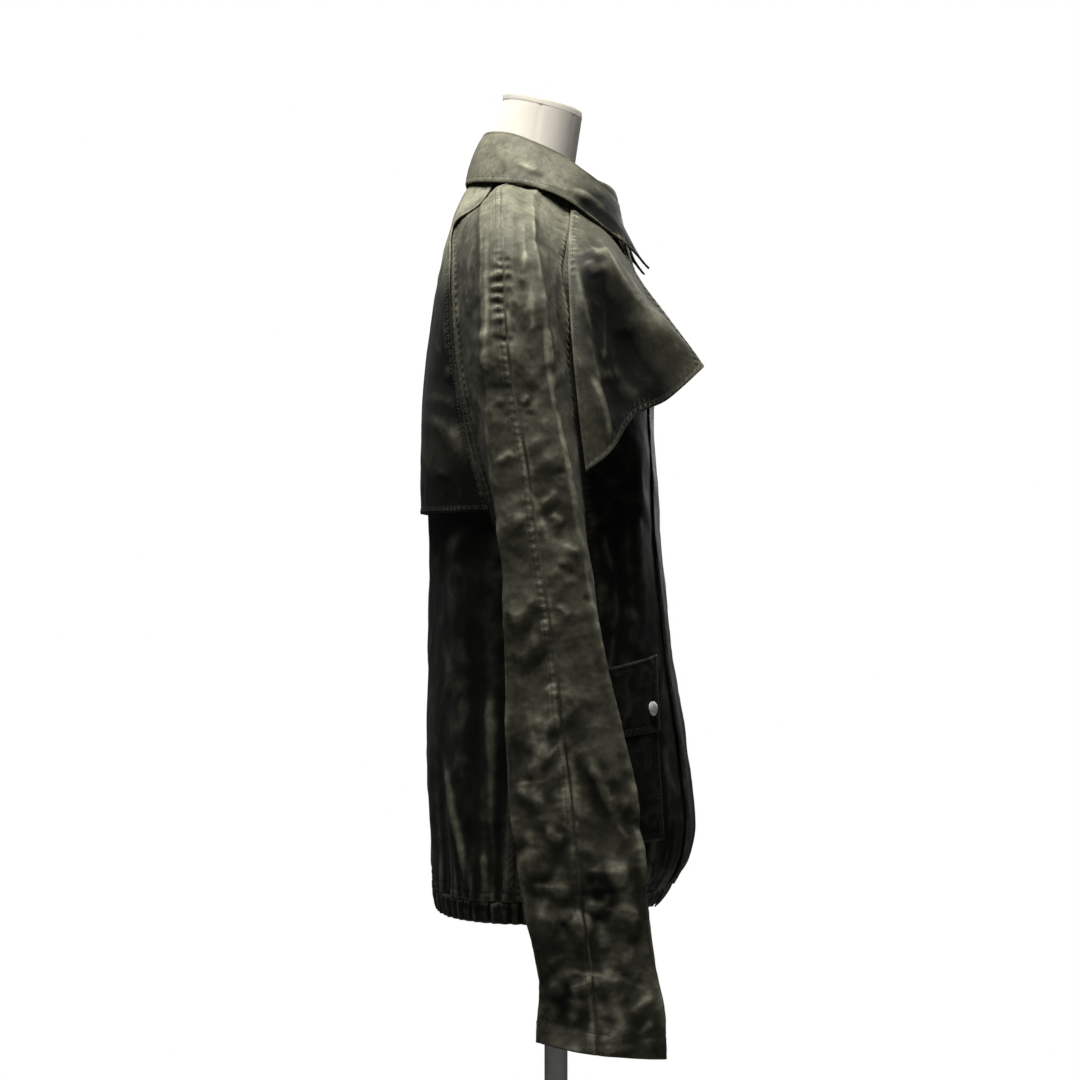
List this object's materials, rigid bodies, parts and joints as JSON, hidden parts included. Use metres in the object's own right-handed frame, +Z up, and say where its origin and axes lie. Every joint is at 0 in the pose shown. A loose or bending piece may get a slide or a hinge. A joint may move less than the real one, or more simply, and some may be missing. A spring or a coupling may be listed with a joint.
{
  "type": "trench coat on a dress form",
  "caption": "Waxed-cotton trench coat with raglan sleeves, storm cape, loose gun flap, patch pockets and gathered hem, worn by a limbless dress form on a pole and round base.",
  "frame": {"origin": "the middle of the base's flat underside, on the floor", "axes": "+Z up; the coat faces -Y; its wearer's right sleeve is at -X and the left one at +X"},
  "size_m": [0.545, 0.37, 1.5331],
  "materials": {
    "waxed_cotton": "satin, waxed",
    "snap_nickel": "satin",
    "form_jersey": "matt",
    "stand_steel": "satin"
  },
  "bodies": {
    "root": {"back": "waxed_cotton", "front_left": "waxed_cotton", "front_right": "waxed_cotton", "sleeve_back_left": "waxed_cotton", "sleeve_back_right": "waxed_cotton", "sleeve_front_left": "waxed_cotton", "sleeve_front_right": "waxed_cotton", "storm_cape": "waxed_cotton", "gun_flap": "waxed_cotton", "collar": "waxed_cotton", "collar_stand": "waxed_cotton", "pocket_left": "waxed_cotton", "pocket_right": "waxed_cotton", "pocket_flap_left": "waxed_cotton", "pocket_flap_right": "waxed_cotton", "hem_casing_back": "waxed_cotton", "hem_casing_left": "waxed_cotton", "hem_casing_right": "waxed_cotton", "snap_left": "snap_nickel", "snap_right": "snap_nickel", "form_torso": "form_jersey", "form_neck_cap": "form_jersey", "form_pole": "stand_steel", "form_base": "stand_steel"}
  },
  "joints": []
}
